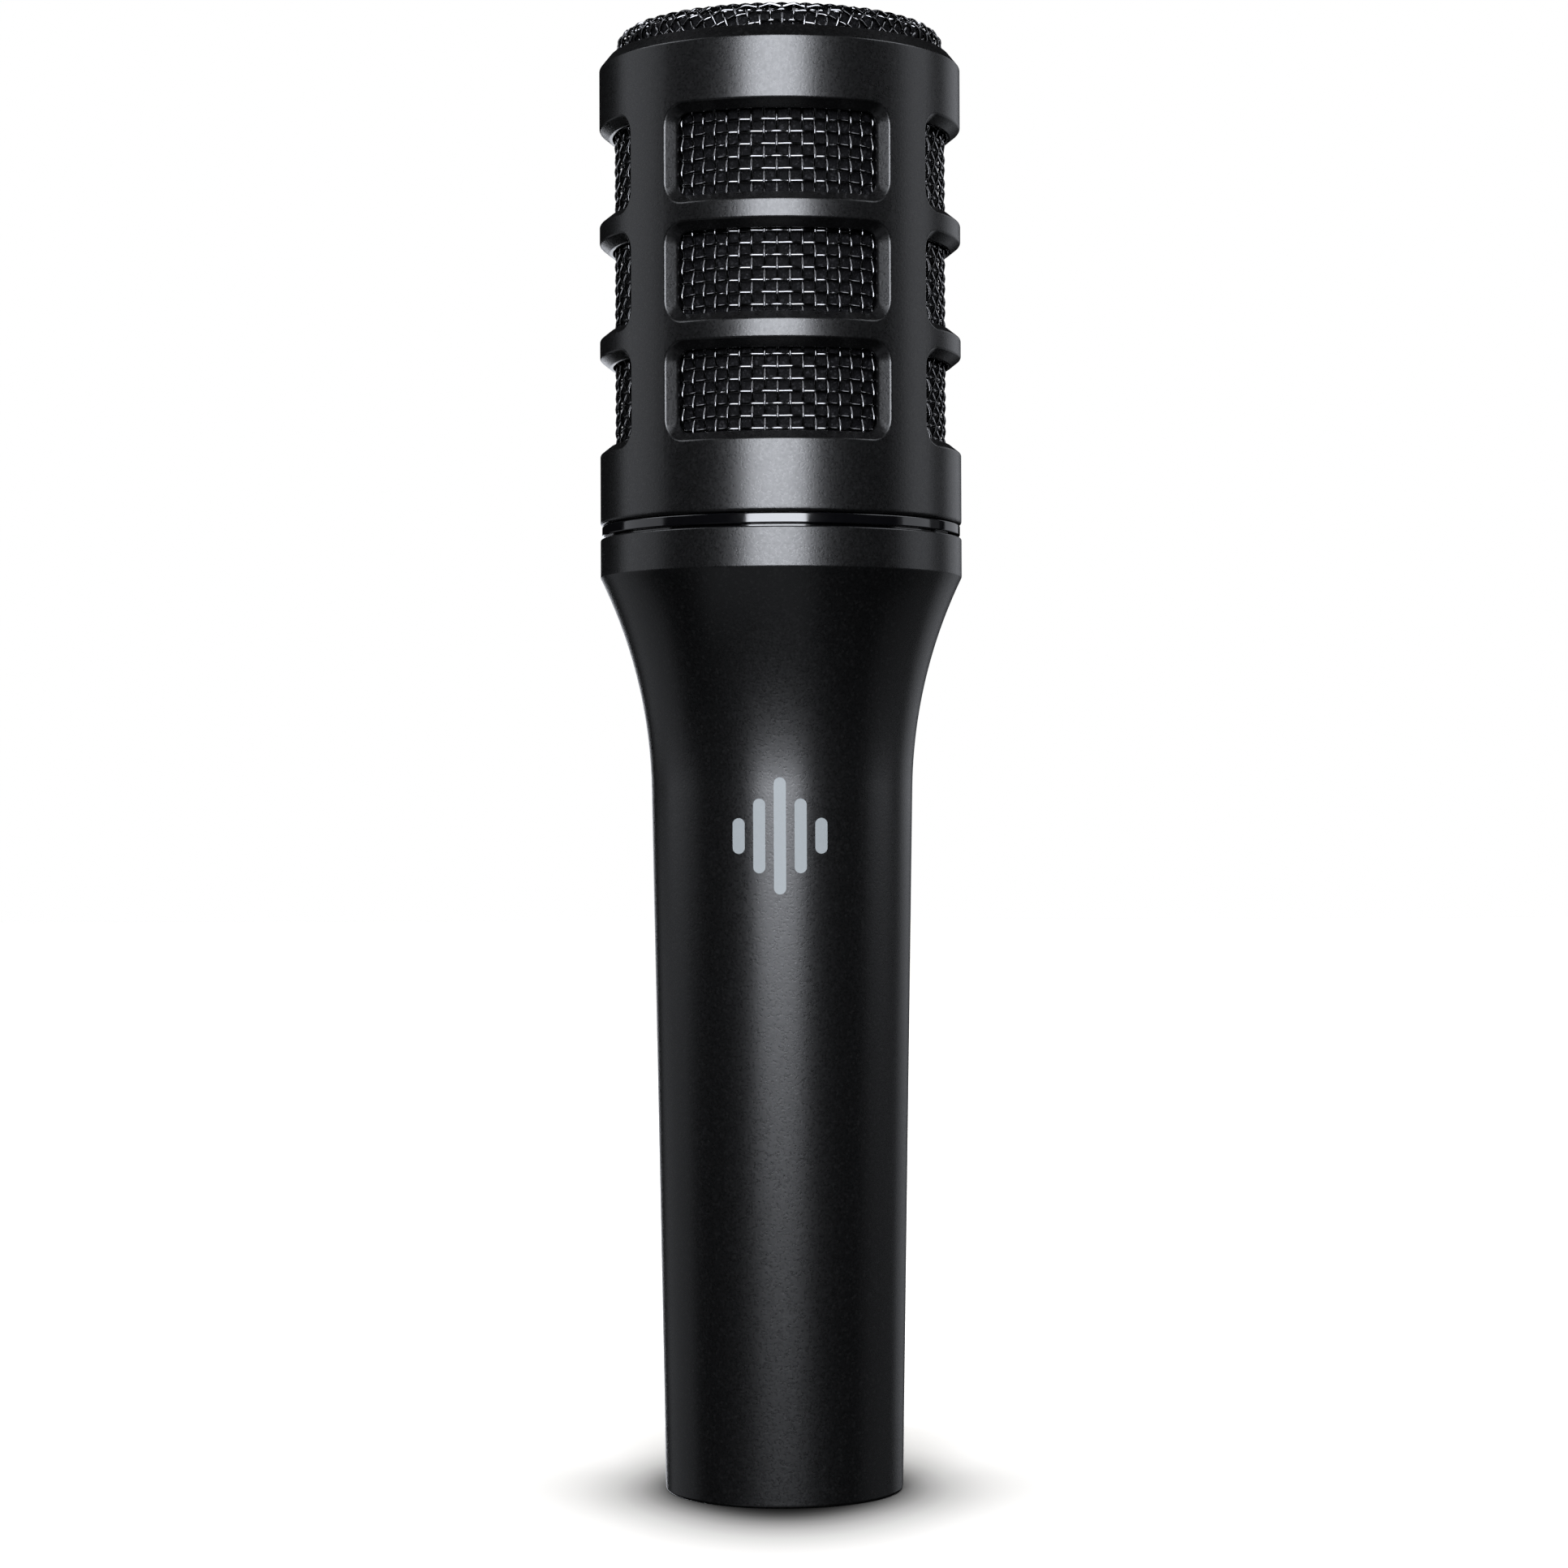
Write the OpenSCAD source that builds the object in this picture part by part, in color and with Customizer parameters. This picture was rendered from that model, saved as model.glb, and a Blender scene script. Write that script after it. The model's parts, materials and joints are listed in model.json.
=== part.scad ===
// Handheld dynamic microphone, standing on its connector end.
// Origin at the centre of the base, +Z towards the head, -Y towards the front.

/* [Overall] */
// Diameter of the cage and of the handle's collar
head_d = 46; // [45.6:0.1:46.4]
// Height of the collar's top face above the base
collar_top = 120.6; // [120.2:0.1:121]
// Height of the cage's rim above the base
rim_top = 181.9; // [181.4:0.1:182.4]
// Height of the highest point of the domed mesh
dome_top = 187.5; // [187.2:0.1:187.8]

/* [Handle] */
// Diameter of the handle at the base
base_d = 30.1; // [29.8:0.1:30.6]
// Diameter of the handle where its flare starts
grip_d = 33.2; // [33:0.1:33.6]
// Height at which the flare starts
grip_h = 89; // [87:0.5:91]
// Height of the straight collar band
collar_h = 4.9; // [4.4:0.1:5.4]
// Wall of the handle shell
handle_wall = 2; // [1.8:0.1:2.2]
// Chamfer of the base's edge
base_chamfer = 0.4; // [0.2:0.1:0.8]

/* [Neck thread] */
// Outer diameter of the neck's thread
thread_d = 39.8; // [39.6:0.1:39.9]
// Length of the neck's thread
thread_len = 7.2; // [6.8:0.1:7.4]
// Gap between neck and cage, all round
thread_gap = 0.1; // [0.08:0.01:0.12]

/* [Trim ring] */
// Outer diameter of the trim ring
trim_d = 45.6; // [45.4:0.1:45.8]
// Visible height of the trim ring
trim_h = 1.3; // [1.2:0.05:1.35]
// Height of the dark groove under the trim ring
groove_h = 0.35; // [0.3:0.05:0.4]
// Depth of that groove, inwards from the ring's face
groove_depth = 1.3; // [1.1:0.1:1.4]

/* [Cage] */
// Wall of the cage
cage_wall = 1.65; // [1.6:0.05:1.8]
// Height of a window at the cage's outer face
window_h = 12.3; // [11.9:0.1:12.5]
// Height of a rail between two rows of windows
rail_h = 2.3; // [2.1:0.1:2.5]
// Height of the lowest window's lower edge above the base
window_start = 131.3; // [131:0.1:131.7]
// Half width of a window at the outer face, straight across
window_half = 13.9; // [13.6:0.1:14.1]
// Width of the bevel round a window
bevel_w = 1.1; // [0.9:0.1:1.3]
// Depth of the bevel round a window
bevel_depth = 1.2; // [1:0.1:1.3]
// Size of the bevel round the rim
rim_bevel = 1.4; // [1.3:0.1:1.5]

/* [Mesh and foam] */
// Thickness of the woven wire cloth
mesh_t = 0.6; // [0.5:0.05:0.65]
// Radius of the dome
dome_r = 80; // [76:1:84]
// Radius of the dome's rolled edge
dome_edge_r = 2; // [1.6:0.1:2.4]
// Inner radius of the foam lining
foam_r = 17.5; // [17:0.1:18]

/* [Capsule] */
// Diameter of the capsule
capsule_d = 29; // [28.6:0.1:29.4]
// Diameter of the capsule's stem
stem_d = 17.7; // [17.6:0.1:17.8]
// Radius of the centre pole
pole_r = 8; // [7.9:0.05:8.05]
// Radial width of the magnetic gap
gap_w = 1.4; // [1.35:0.05:1.5]
// Radial thickness of the voice coil
coil_t = 0.55; // [0.5:0.05:0.6]
// Furthest travel of the diaphragm each way
diaphragm_travel = 0.3; // [0.2:0.05:0.3]

/* [Connector] */
// Bore that the plug goes into
socket_d = 16.2; // [16.1:0.1:16.4]
// Outer diameter of the connector's barrel
barrel_d = 24; // [23.8:0.1:24.2]
// Depth from the base to the face that carries the pins
socket_depth = 14; // [13.5:0.1:14.5]
// Diameter of a contact pin
pin_d = 2.38; // [2.36:0.01:2.4]
// Diameter of the circle that the pins stand on
pin_circle_d = 9; // [8.9:0.05:9.1]
// Diameter of the set screw that holds the connector
screw_d = 2.4; // [2.3:0.1:2.5]

/* [Emblem] */
// Height of the emblem's middle above the base
emblem_z = 82.9; // [80:0.1:84]
// Width of one bar
bar_w = 1.5; // [1.2:0.1:1.6]
// Distance from one bar to the next
bar_pitch = 2.55; // [2.5:0.05:2.8]
// Thickness of the print
print_t = 0.06; // [0.05:0.01:0.1]

/* [Hidden] */
$fn = 96;

head_r = head_d / 2;
base_r = base_d / 2;
grip_r = grip_d / 2;
thread_r = thread_d / 2;
barrel_r = barrel_d / 2;
stem_r = stem_d / 2;
capsule_r = capsule_d / 2;
fit_gap = 0.05; // between pieces that are screwed or pushed together

// The flare is one arc, tangent to the taper and ending at the collar.
flare_top = collar_top - collar_h;
taper_angle = atan((grip_r - base_r) / grip_h);
flare_end = 2 * atan((head_r - grip_r) / (flare_top - grip_h)) - taper_angle;
flare_r = (flare_top - grip_h) / (sin(flare_end) - sin(taper_angle));
function flare_point(a, out) = [
    grip_r + flare_r * (cos(taper_angle) - cos(a)) + out * cos(a),
    grip_h + flare_r * (sin(a) - sin(taper_angle)) - out * sin(a)
];
function flare(out, last, n) = [
    for (i = [0 : n]) flare_point(taper_angle + (last - taper_angle) * i / n, out)
];
function handle_radius(z) = base_r + z * tan(taper_angle);

// Heights inside the handle
barrel_top = 21.5;
insert_top = 20;
board_z = 22.4;
board_t = 1.2;
cavity_start = 24;
neck_seat = 112;
neck_bore = thread_r - 1.55;
neck_seat_r = thread_r - 1.1;

// Heights in the head
trim_z = collar_top + groove_h;
cage_z = trim_z + trim_h + 0.1;
mesh_seat = 128.5;
mesh_r = head_r - cage_wall - 0.2;
dome_side_r = mesh_r - 0.3;
skirt_z = rim_top - 4;
window_pitch = window_h + rail_h;

// Heights in the capsule
stem_z = 116;
cup_z = 134;
cup_top = 161;
yoke_z = 139;
magnet_z = 141.5;
pole_z = 149.5;
gap_z = 151;
gap_top = 153.5;
diaphragm_z = 156.4;
film_t = 0.2;

module revolve(points) {
    rotate_extrude() polygon(points);
}

module tube(r_in, r_out, z0, z1) {
    revolve([[r_in, z0], [r_out, z0], [r_out, z1], [r_in, z1]]);
}

// Handle and what it holds

module handle() {
    color("#1d1d1f")
    difference() {
        revolve(concat(
            [[barrel_r, 0], [base_r - base_chamfer, 0], [handle_radius(base_chamfer), base_chamfer]],
            flare(0, flare_end, 18),
            [
                [head_r, collar_top - 0.2],
                [head_r - 0.2, collar_top],
                [neck_seat_r, collar_top],
                [neck_seat_r, neck_seat],
                [neck_seat_r - 0.8, neck_seat]
            ],
            [for (i = [6 : -1 : 0]) flare_point(taper_angle + (17 - taper_angle) * i / 6, -handle_wall)],
            [[handle_radius(cavity_start) - handle_wall, cavity_start], [barrel_r, cavity_start - 1.4]]
        ));
        screw_hole(screw_d + 0.1);
    }
}

module screw_hole(d) {
    translate([0, barrel_r - 1.8, 11]) rotate([-90, 0, 0]) cylinder(d = d, h = 6);
}

module lock_screw() {
    color("#55565a")
    difference() {
        translate([0, barrel_r - 1.7, 11]) rotate([-90, 0, 0]) cylinder(d = screw_d, h = 4.4);
        translate([0, barrel_r + 1.5, 11]) rotate([-90, 0, 0]) cylinder(d = 1.3, h = 2, $fn = 6);
    }
}

module neck_ring() {
    color("#a08a55")
    revolve([
        [neck_bore, neck_seat],
        [neck_seat_r - fit_gap, neck_seat],
        [neck_seat_r - fit_gap, collar_top],
        [thread_r, collar_top],
        [thread_r, collar_top + thread_len - 0.5],
        [thread_r - 0.5, collar_top + thread_len],
        [neck_bore, collar_top + thread_len]
    ]);
}

module suspension_ring() {
    color("#2b2b2e")
    revolve([
        [15, 119.5],
        [neck_bore - fit_gap, 119.5],
        [neck_bore - fit_gap, 127],
        [17, 127],
        [17, 121],
        [15, 121]
    ]);
}

module shock_mount() {
    color("#151517")
    revolve([
        [stem_r + 0.02, 119],
        [10.4, 119],
        [10.4, 123.4],
        [12.8, 122.2],
        [15.2, 123.4],
        [15.2, 121.05],
        [16.95, 121.05],
        [16.95, 126.5],
        [15.2, 126.5],
        [15.2, 124.6],
        [12.8, 123.4],
        [10.4, 124.6],
        [10.4, 128],
        [stem_r + 0.02, 128]
    ]);
}

module cavity_foam() {
    color("#3a3a3c")
    tube(3.4, handle_radius(55) - handle_wall - 0.1, 55, 80);
}

// Three-pin male connector in the base

pin_spots = [[-pin_circle_d / 2, 0], [pin_circle_d / 2, 0], [0, -pin_circle_d / 2]];
collar_r = 1.6; // of a pin where the insert holds it
tail_r = 1.3; // of a pin's solder tail

module connector_shell() {
    color("#8d8e91")
    difference() {
        revolve([
            [socket_d / 2 + 0.5, 0.15],
            [barrel_r - 0.4, 0.15],
            [barrel_r - fit_gap, 0.5],
            [barrel_r - fit_gap, barrel_top],
            [7, barrel_top],
            [7, insert_top],
            [socket_d / 2, insert_top],
            [socket_d / 2, 0.65]
        ]);
        // pocket that the plug's latch springs into
        translate([-2.5, 7.5, 4]) cube([5, 2.2, 3]);
        screw_hole(screw_d + 0.1);
    }
}

module connector_insert() {
    color("#18181a")
    difference() {
        translate([0, 0, socket_depth]) cylinder(r = socket_d / 2 - fit_gap, h = insert_top - socket_depth);
        for (spot = pin_spots)
            translate([spot[0], spot[1], socket_depth - 1]) cylinder(r = collar_r, h = 10);
    }
}

module contact_pin(spot) {
    color("#c9b26a")
    translate([spot[0], spot[1], 0]) revolve([
        [0, 1.6],
        [pin_d / 2 - 0.6, 1.6],
        [pin_d / 2, 2.4],
        [pin_d / 2, socket_depth],
        [collar_r, socket_depth],
        [collar_r, insert_top],
        [tail_r, insert_top],
        [tail_r, board_z + board_t + 1],
        [0, board_z + board_t + 1]
    ]);
}

module pin_1() {
    contact_pin(pin_spots[0]);
}

module pin_2() {
    contact_pin(pin_spots[1]);
}

module pin_3() {
    contact_pin(pin_spots[2]);
}

module terminal_board() {
    color("#2f6b46")
    difference() {
        translate([0, 0, board_z]) cylinder(r = 9, h = board_t);
        for (spot = pin_spots)
            translate([spot[0], spot[1], board_z - 1]) cylinder(r = tail_r, h = 4);
    }
}

module ground_strip() {
    reach = handle_radius(cavity_start) - handle_wall - 0.6;
    color("#b9babd")
    difference() {
        union() {
            translate([-reach, -1.6, board_z + board_t]) cube([reach - 2.6, 3.2, 0.4]);
            translate([-reach, -1.6, board_z + board_t]) cube([0.4, 3.2, 5]);
        }
        translate([pin_spots[0][0], 0, board_z]) cylinder(r = tail_r, h = 4);
    }
}

// A lead is a thin tube whose rings lie level, because it runs nearly upright.
lead_r = 0.6;
lead_sides = 10;

module lead(route) {
    rings = [
        for (p = route, i = [0 : lead_sides - 1])
            [p[0] + lead_r * cos(i * 360 / lead_sides), p[1] + lead_r * sin(i * 360 / lead_sides), p[2]]
    ];
    last = len(route) - 1;
    walls = [
        for (k = [0 : last - 1], i = [0 : lead_sides - 1])
            let (j = (i + 1) % lead_sides, a = k * lead_sides, b = (k + 1) * lead_sides)
                [a + i, b + i, b + j, a + j]
    ];
    ends = [
        [for (i = [0 : lead_sides - 1]) i],
        [for (i = [lead_sides - 1 : -1 : 0]) last * lead_sides + i]
    ];
    polyhedron(rings, concat(walls, ends), convexity = 4);
}

tail_top = board_z + board_t + 1;
terminal_z = stem_z - 1.4;
terminal_x = 3;

module lead_hot() {
    color("#a8322c")
    lead([
        [4.5, 0, tail_top], [4.2, 0.4, 28], [3, 1, 34], [1.6, 1, 46], [1.2, 0.4, 62],
        [1.2, 0, 76], [1.6, 0.4, 90], [2.6, 0.4, 102], [terminal_x, 0, 110], [terminal_x, 0, terminal_z]
    ]);
}

module lead_cold() {
    color("#26262a")
    lead([
        [0, -4.5, tail_top], [-0.2, -4.2, 28], [-0.8, -3, 34], [-1.4, -1.4, 46], [-1.2, -0.4, 62],
        [-1.2, 0, 76], [-1.6, -0.4, 90], [-2.6, -0.4, 102], [-terminal_x, 0, 110], [-terminal_x, 0, terminal_z]
    ]);
}

// Five bars of different heights, printed on the front
bar_heights = [4.4, 9.2, 14.4, 9.2, 4.4];
print_gap = 0.01;

module bars() {
    for (i = [0 : len(bar_heights) - 1])
        translate([(i - 2) * bar_pitch, 0]) {
            square([bar_w, bar_heights[i] - bar_w], center = true);
            for (end = [-1, 1])
                translate([0, end * (bar_heights[i] - bar_w) / 2]) circle(d = bar_w);
        }
}

module emblem() {
    low = emblem_z - 10;
    high = emblem_z + 10;
    color("#a6b0b2")
    intersection() {
        revolve([
            [handle_radius(low) + print_gap, low],
            [handle_radius(low) + print_gap + print_t, low],
            [handle_radius(high) + print_gap + print_t, high],
            [handle_radius(high) + print_gap, high]
        ]);
        translate([0, 0, emblem_z]) rotate([90, 0, 0]) linear_extrude(height = 20) bars();
    }
}

// Head, which unscrews from the neck

module trim_ring() {
    inner = thread_r + thread_gap + 0.98;
    color("#0b0b0c")
    revolve([
        [inner, collar_top + fit_gap],
        [trim_d / 2 - groove_depth, collar_top + fit_gap],
        [trim_d / 2 - groove_depth, trim_z],
        [trim_d / 2, trim_z],
        [trim_d / 2, trim_z + trim_h],
        [inner, trim_z + trim_h]
    ]);
}

// A point at radius r and angle a from the front, seen from above
function around(r, a) = [r * sin(a), -r * cos(a)];

// Every window's upper and lower bevel is part of a cone round the head's axis.
module window_bands() {
    slope = bevel_w / bevel_depth;
    inner = head_r - cage_wall - 1;
    bevel_r = head_r - bevel_depth;
    outer = head_r + 1;
    near = window_h / 2 - bevel_w;
    far = window_h / 2 + slope;
    for (row = [0 : 2]) {
        mid = window_start + window_h / 2 + row * window_pitch;
        revolve([
            [inner, mid - near],
            [bevel_r, mid - near],
            [outer, mid - far],
            [outer, mid + far],
            [bevel_r, mid + near],
            [inner, mid + near]
        ]);
    }
}

// Every window's side walls are radial, with a flat bevel outside them.
module window_sectors() {
    outer_angle = asin(window_half / head_r);
    wall_angle = outer_angle - atan(bevel_w / (head_r - bevel_depth / 2));
    root = around(head_r - bevel_depth, wall_angle);
    tip = root + 2 * (around(head_r, outer_angle) - root);
    start = around(head_r - cage_wall - 3, wall_angle);
    for (side = [0 : 3])
        rotate([0, 0, side * 90]) translate([0, 0, window_start - 1])
            linear_extrude(height = 3 * window_pitch + 2) polygon([
                [-start[0], start[1]],
                start,
                root,
                tip,
                [tip[0], -head_r - 3],
                [-tip[0], -head_r - 3],
                [-tip[0], tip[1]],
                [-root[0], root[1]]
            ]);
}

module head_cage() {
    thread_bore = thread_r + thread_gap;
    color("#1d1d1f")
    difference() {
        revolve([
            [thread_bore, collar_top + 0.15],
            [thread_bore + 0.9, collar_top + 0.15],
            [thread_bore + 0.9, cage_z],
            [head_r - 0.4, cage_z],
            [head_r, cage_z + 0.4],
            [head_r, rim_top - rim_bevel],
            [head_r - rim_bevel, rim_top],
            [head_r - cage_wall, rim_top],
            [head_r - cage_wall, mesh_seat],
            [thread_bore, mesh_seat]
        ]);
        intersection() {
            window_bands();
            window_sectors();
        }
    }
}

module side_mesh() {
    color("#8a8b8e")
    tube(mesh_r - 0.35, mesh_r, mesh_seat + fit_gap, skirt_z);
}

// The dome and its rolled edge, moved inwards by t
function dome_outline(t) =
    let (
        edge_x = dome_side_r - dome_edge_r,
        centre_z = dome_top - dome_r,
        edge_z = centre_z + sqrt(pow(dome_r - dome_edge_r, 2) - pow(edge_x, 2)),
        meet = asin(edge_x / (dome_r - dome_edge_r))
    )
    concat(
        [for (i = [0 : 8]) let (a = meet * i / 8)
            [(dome_r - t) * sin(a), centre_z + (dome_r - t) * cos(a)]],
        [for (i = [1 : 6]) let (a = meet + (90 - meet) * i / 6)
            [edge_x + (dome_edge_r - t) * sin(a), edge_z + (dome_edge_r - t) * cos(a)]]
    );

function backwards(list) = [for (i = [len(list) - 1 : -1 : 0]) list[i]];

module top_mesh() {
    outer = dome_outline(0);
    inner = dome_outline(mesh_t);
    color("#8a8b8e")
    revolve(concat(
        outer,
        [[dome_side_r, skirt_z + fit_gap], [dome_side_r - mesh_t, skirt_z + fit_gap]],
        backwards(inner)
    ));
}

module top_foam() {
    below = dome_outline(mesh_t + fit_gap);
    color("#2c2c2f")
    revolve(concat(
        [[0, skirt_z + 0.2]],
        below,
        [[dome_side_r - mesh_t - fit_gap, skirt_z + 0.2]]
    ));
}

module side_foam() {
    color("#2c2c2f")
    tube(foam_r, mesh_r - 0.4, mesh_seat + 2.3, skirt_z);
}

module mesh_ring() {
    color("#3c3c3f")
    tube(mesh_r - 1.5, mesh_r - 0.4, mesh_seat + fit_gap, mesh_seat + 2.2);
}

// Moving coil capsule

module capsule_housing() {
    color("#b4b6b9")
    revolve([
        [0, stem_z],
        [stem_r, stem_z],
        [stem_r, cup_z - 0.8],
        [capsule_r, cup_z + 1],
        [capsule_r, cup_top],
        [capsule_r - 1, cup_top],
        [capsule_r - 1, cup_z + 2],
        [stem_r - 1.2, cup_z + 0.4],
        [stem_r - 1.2, stem_z + 1.2],
        [0, stem_z + 1.2]
    ]);
}

module capsule_cap() {
    color("#202022")
    difference() {
        translate([0, 0, cup_top]) cylinder(r = capsule_r, h = 1.6);
        translate([0, 0, cup_top - 1]) cylinder(r = 1.2, h = 4);
        for (i = [0 : 5])
            rotate([0, 0, i * 60]) translate([5.6, 0, cup_top - 1]) cylinder(r = 1.6, h = 4);
        for (i = [0 : 11])
            rotate([0, 0, i * 30 + 15]) translate([10.6, 0, cup_top - 1]) cylinder(r = 1.2, h = 4);
    }
}

module capsule_terminals() {
    color("#c9b26a")
    for (side = [-1, 1])
        translate([side * terminal_x, 0, terminal_z]) cylinder(r = 0.9, h = stem_z - terminal_z);
}

module rear_felt() {
    color("#d8d4c4")
    translate([0, 0, cup_z + 2.2]) cylinder(r = capsule_r - 1.2, h = 1.8);
}

module yoke() {
    color("#6d6f73")
    revolve([
        [0, yoke_z],
        [11.6, yoke_z],
        [11.6, gap_z],
        [pole_r + gap_w + 1, gap_z],
        [pole_r + gap_w + 1, magnet_z],
        [0, magnet_z]
    ]);
}

module magnet() {
    color("#8f9194")
    translate([0, 0, magnet_z]) cylinder(r = pole_r - 0.4, h = pole_z - magnet_z);
}

module pole_piece() {
    color("#6d6f73")
    translate([0, 0, pole_z]) cylinder(r = pole_r, h = gap_top - pole_z);
}

module gap_plate() {
    color("#6d6f73")
    tube(pole_r + gap_w, capsule_r - 1.2, gap_z, gap_top);
}

module diaphragm_ring() {
    color("#c9b26a")
    tube(capsule_r - 1.7, capsule_r - 1.05, gap_top, diaphragm_z + 1.6);
}

coil_r = pole_r + (gap_w + coil_t) / 2;
film_edge = capsule_r - 2.1;

// A dome inside the coil and a half roll outside it
function film(t) = concat(
    [for (i = [0 : 8]) let (x = coil_r * i / 8)
        [x, diaphragm_z + t + 2 * (1 - pow(x / coil_r, 2))]],
    [for (i = [1 : 8]) let (a = 180 - 180 * i / 8, half = (film_edge - coil_r) / 2)
        [coil_r + half + half * cos(a), diaphragm_z + t + 0.9 * sin(a)]]
);

module diaphragm() {
    color("#c9c6a8")
    revolve(concat(film(0), backwards(film(film_t))));
}

module voice_coil() {
    color("#b56a36")
    tube(coil_r - coil_t, coil_r, pole_z + diaphragm_travel, diaphragm_z);
}

handle();
neck_ring();
suspension_ring();
shock_mount();
cavity_foam();
connector_shell();
connector_insert();
pin_1();
pin_2();
pin_3();
terminal_board();
ground_strip();
lock_screw();
lead_hot();
lead_cold();
emblem();
trim_ring();
head_cage();
side_mesh();
top_mesh();
side_foam();
top_foam();
mesh_ring();
capsule_housing();
capsule_cap();
rear_felt();
yoke();
magnet();
pole_piece();
gap_plate();
diaphragm_ring();
capsule_terminals();
diaphragm();
voice_coil();
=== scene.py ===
import json
import math

import bmesh
import bpy
from mathutils import Matrix, Vector, noise


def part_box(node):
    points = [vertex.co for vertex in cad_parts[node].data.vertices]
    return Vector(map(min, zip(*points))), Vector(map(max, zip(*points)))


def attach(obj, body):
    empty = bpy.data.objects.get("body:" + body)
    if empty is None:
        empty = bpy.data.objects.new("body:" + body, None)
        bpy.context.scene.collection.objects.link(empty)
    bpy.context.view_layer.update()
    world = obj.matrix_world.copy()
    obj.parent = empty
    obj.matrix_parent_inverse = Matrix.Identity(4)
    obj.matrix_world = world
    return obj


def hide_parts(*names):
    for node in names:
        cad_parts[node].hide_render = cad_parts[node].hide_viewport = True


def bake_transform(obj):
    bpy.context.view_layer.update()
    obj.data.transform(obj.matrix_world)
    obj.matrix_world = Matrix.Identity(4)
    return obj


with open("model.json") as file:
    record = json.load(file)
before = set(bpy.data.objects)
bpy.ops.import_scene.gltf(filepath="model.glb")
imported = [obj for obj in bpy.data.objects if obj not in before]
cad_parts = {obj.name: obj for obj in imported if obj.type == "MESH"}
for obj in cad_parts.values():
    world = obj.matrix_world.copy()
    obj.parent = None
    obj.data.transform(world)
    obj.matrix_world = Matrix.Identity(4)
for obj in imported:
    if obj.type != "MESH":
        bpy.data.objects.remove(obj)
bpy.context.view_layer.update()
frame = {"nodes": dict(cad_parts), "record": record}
nodes = frame["nodes"]
mm = 0.001
print("frame loaded:", len(nodes), "nodes")


# Camera

cameraSpot = {
    "lens": 85,
    "distance": 472,
    "height": 83.4,
    "azimuth": 1.0,
    "pitch": 0.74,
    "yaw": 0.03,
    "roll": -0.22,
}


def placeCamera(spot):
    data = bpy.data.cameras.new("camera")
    data.lens = spot["lens"]
    data.sensor_width = 36
    data.clip_start = 10 * mm
    camera = bpy.data.objects.new("camera", data)
    turn = math.radians(spot["azimuth"])
    reach = spot["distance"] * mm
    place = Matrix.Translation((reach * math.sin(turn), -reach * math.cos(turn), spot["height"] * mm))
    heading = Matrix.Rotation(turn - math.radians(spot["yaw"]), 4, "Z")
    tilt = Matrix.Rotation(math.radians(90 + spot["pitch"]), 4, "X")
    roll = Matrix.Rotation(math.radians(spot["roll"]), 4, "Z")
    camera.matrix_world = place @ heading @ tilt @ roll
    bpy.context.scene.collection.objects.link(camera)
    bpy.context.scene.camera = camera


placeCamera(cameraSpot)
print("camera placed")


# Node groups shared by the materials

def newGroup(name, inputs, outputs):
    group = bpy.data.node_groups.new(name, "ShaderNodeTree")
    for title, kind, value in inputs:
        socket = group.interface.new_socket(title, in_out="INPUT", socket_type=kind)
        socket.default_value = value
    for title, kind in outputs:
        group.interface.new_socket(title, in_out="OUTPUT", socket_type=kind)
    start = group.nodes.new("NodeGroupInput")
    end = group.nodes.new("NodeGroupOutput")
    return group, start, end


def addNode(tree, kind, values=None, **settings):
    node = tree.nodes.new(kind)
    for key, value in settings.items():
        setattr(node, key, value)
    for key, value in (values or {}).items():
        node.inputs[key].default_value = value
    return node


def addMath(tree, operation, first, second, clamp=False):
    node = addNode(tree, "ShaderNodeMath", operation=operation, use_clamp=clamp)
    for place, value in enumerate((first, second)):
        if isinstance(value, (int, float)):
            node.inputs[place].default_value = value
        else:
            tree.links.new(value, node.inputs[place])
    return node.outputs[0]


# Fine grain, such as powder coat or cast metal: Size is in metres
def makeGrain():
    group, start, end = newGroup(
        "fineGrain",
        [("Size", "NodeSocketFloat", 0.0003), ("Clumps", "NodeSocketFloat", 0.3)],
        [("Grain", "NodeSocketFloat"), ("Fleck", "NodeSocketFloat")],
    )
    place = addNode(group, "ShaderNodeTexCoord").outputs["Object"]
    scale = addMath(group, "DIVIDE", 1.0, start.outputs["Size"])
    coarseScale = addMath(group, "MULTIPLY", scale, 0.3)
    fine = addNode(group, "ShaderNodeTexNoise", {"Detail": 2.0, "Roughness": 0.6})
    coarse = addNode(group, "ShaderNodeTexNoise", {"Detail": 1.0, "Roughness": 0.5})
    cells = addNode(group, "ShaderNodeTexVoronoi")
    for texture, size in ((fine, scale), (coarse, coarseScale), (cells, scale)):
        group.links.new(place, texture.inputs["Vector"])
        group.links.new(size, texture.inputs["Scale"])
    mixer = addNode(group, "ShaderNodeMix", data_type="FLOAT")
    group.links.new(start.outputs["Clumps"], mixer.inputs["Factor"])
    group.links.new(fine.outputs["Fac"], mixer.inputs["A"])
    group.links.new(coarse.outputs["Fac"], mixer.inputs["B"])
    group.links.new(mixer.outputs["Result"], end.inputs["Grain"])
    split = addNode(group, "ShaderNodeSeparateColor")
    group.links.new(cells.outputs["Color"], split.inputs["Color"])
    fleck = addNode(group, "ShaderNodeMapRange", {"From Min": 0.8, "From Max": 1.0})
    group.links.new(split.outputs["Red"], fleck.inputs["Value"])
    group.links.new(fleck.outputs["Result"], end.inputs["Fleck"])
    return group


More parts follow.
